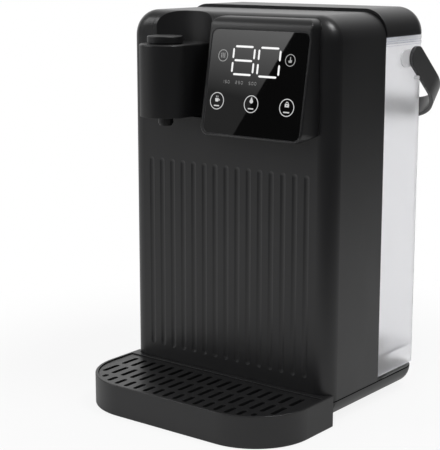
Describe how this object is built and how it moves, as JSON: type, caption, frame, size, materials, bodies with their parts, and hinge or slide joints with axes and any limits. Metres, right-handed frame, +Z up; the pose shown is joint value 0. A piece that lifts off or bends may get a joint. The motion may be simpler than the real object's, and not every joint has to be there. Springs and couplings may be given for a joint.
{
  "type": "instant hot water dispenser",
  "caption": "Countertop instant hot water dispenser with lift-off rear water tank, tilted touch display, nose-shaped spout over a fluted front, and a slide-out drip tray with slotted grid.",
  "frame": {"origin": "on the table, under the middle of the bounding box", "axes": "+Z up, -Y out of the front with the spout, +X to the right of someone facing the front"},
  "size_m": [0.2074, 0.262, 0.3225],
  "materials": {
    "cover_plastic": "fine-grained matt moulding",
    "trim_plastic": "matt moulding",
    "inner_plastic": "plain moulding",
    "display_glass": "polished",
    "digit_white": "plain moulding",
    "tank_plastic": "frosted, see-through",
    "board_green": "coated board",
    "board_parts": "plain",
    "silicone": "milky",
    "black_rubber": "matt",
    "steel": "brushed",
    "brass": "turned"
  },
  "bodies": {
    "cabinet": {"housing_shell": "cover_plastic", "head_case": "cover_plastic", "display_glass": "display_glass", "display_board": "board_green", "digit_module": "digit_white", "niche_wall": "cover_plastic", "nose_shell": "cover_plastic", "nose_floor": "cover_plastic", "spout_cap": "trim_plastic", "spout_nozzle": "trim_plastic", "outlet_hose": "silicone", "heater_tube": "steel", "heater_caps": "inner_plastic", "heater_bracket": "steel", "thermal_cutouts": "steel", "temperature_probe": "brass", "pump_hose": "silicone", "pump_body": "inner_plastic", "pump_motor": "steel", "pump_cradle": "black_rubber", "inlet_hose": "silicone", "tank_socket": "inner_plastic", "socket_seal": "silicone", "dock_deck": "inner_plastic", "rear_bulkhead": "inner_plastic", "base_pan": "cover_plastic", "feet": "black_rubber", "base_screws": "steel", "bulkhead_screws": "steel", "power_board": "board_green", "board_components": "board_parts", "board_standoffs": "brass", "cord_gland": "black_rubber"},
    "impeller": {"pump_impeller": "digit_white"},
    "tank": {"tank_shell": "tank_plastic", "tank_feet": "black_rubber", "grip_rests": "tank_plastic", "pivot_bushes": "tank_plastic", "valve_spigot": "tank_plastic", "valve_seal": "black_rubber", "valve_cage": "digit_white", "valve_spring": "steel", "handle_pins": "steel"},
    "valve": {"valve_poppet": "inner_plastic"},
    "handle": {"handle": "trim_plastic"},
    "lid": {"lid": "cover_plastic", "lid_seal": "black_rubber"},
    "tray": {"drip_tray": "trim_plastic"},
    "grid": {"drip_grid": "trim_plastic"}
  },
  "joints": [
    {"name": "tank_lift", "type": "slide", "parent": "cabinet", "child": "tank", "axis": [0, 0, 1], "range_m": [0, 0.08]},
    {"name": "valve_travel", "type": "slide", "parent": "tank", "child": "valve", "axis": [0, 0, 1], "range_m": [0, 0.0025], "stiffness_N_per_m": 250, "springref_m": -0.004, "deforming": ["valve_spring"]},
    {"name": "handle_swing", "type": "hinge", "parent": "tank", "child": "handle", "pos_m": [0, 0.06796, 0.2824], "axis": [1, 0, 0], "range_deg": [0, 130]},
    {"name": "lid_lift", "type": "slide", "parent": "tank", "child": "lid", "axis": [0, 0, 1], "range_m": [0, 0.016]},
    {"name": "tray_pull", "type": "slide", "parent": "cabinet", "child": "tray", "axis": [0, -1, 0], "range_m": [0, 0.1]},
    {"name": "grid_lift", "type": "slide", "parent": "tray", "child": "grid", "axis": [0, 0, 1], "range_m": [0, 0.02]},
    {"name": "impeller_spin", "type": "hinge", "parent": "cabinet", "child": "impeller", "pos_m": [0, -0.01004, 0.0285], "axis": [0, 1, 0], "continuous": true}
  ]
}
